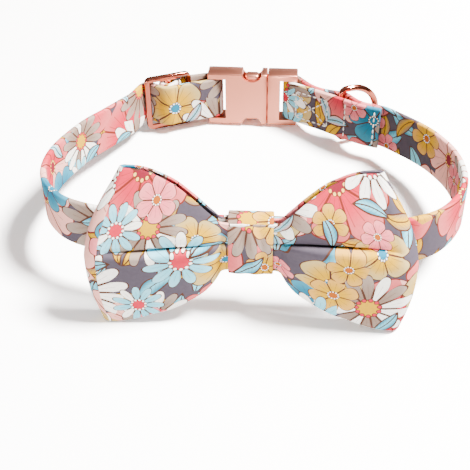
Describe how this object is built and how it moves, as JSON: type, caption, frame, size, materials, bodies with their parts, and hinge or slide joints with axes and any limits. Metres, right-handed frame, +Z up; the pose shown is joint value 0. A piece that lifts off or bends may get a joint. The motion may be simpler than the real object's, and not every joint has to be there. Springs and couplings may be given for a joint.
{
  "type": "pet bow tie collar",
  "caption": "Flat cloth collar for a pet, a closed loop with a metal side-release buckle, a slider, a D-ring and a looped cloth bow held by a knot band.",
  "frame": {"origin": "middle of the footprint, on the surface that the collar rests on", "axes": "+X to the right across the ring with the bow facing the viewer, +Y from the bow to the buckle, +Z up"},
  "size_m": [0.1692, 0.1438, 0.0622],
  "materials": {
    "strap_cloth": "printed cotton over webbing, small flowers on slate grey",
    "bow_cloth": "printed cotton, flowers on slate grey",
    "knot_cloth": "printed cotton, pale flowers",
    "rose_gold_metal": "rose-gold plated zinc alloy, satin on the buckle and polished on the wire"
  },
  "bodies": {
    "collar": {"strap": "strap_cloth", "buckle_socket": "rose_gold_metal", "buckle_tongue": "rose_gold_metal", "slider": "rose_gold_metal", "bow": "bow_cloth", "knot_band": "knot_cloth"},
    "d_ring": {"d_ring": "rose_gold_metal"}
  },
  "joints": [
    {"name": "d_ring_swing", "type": "hinge", "parent": "collar", "child": "d_ring", "pos_m": [0.04086, 0.0452, 0.01649], "axis": [0, 0.1389, 0.9903], "range_deg": [-12, 85]}
  ]
}
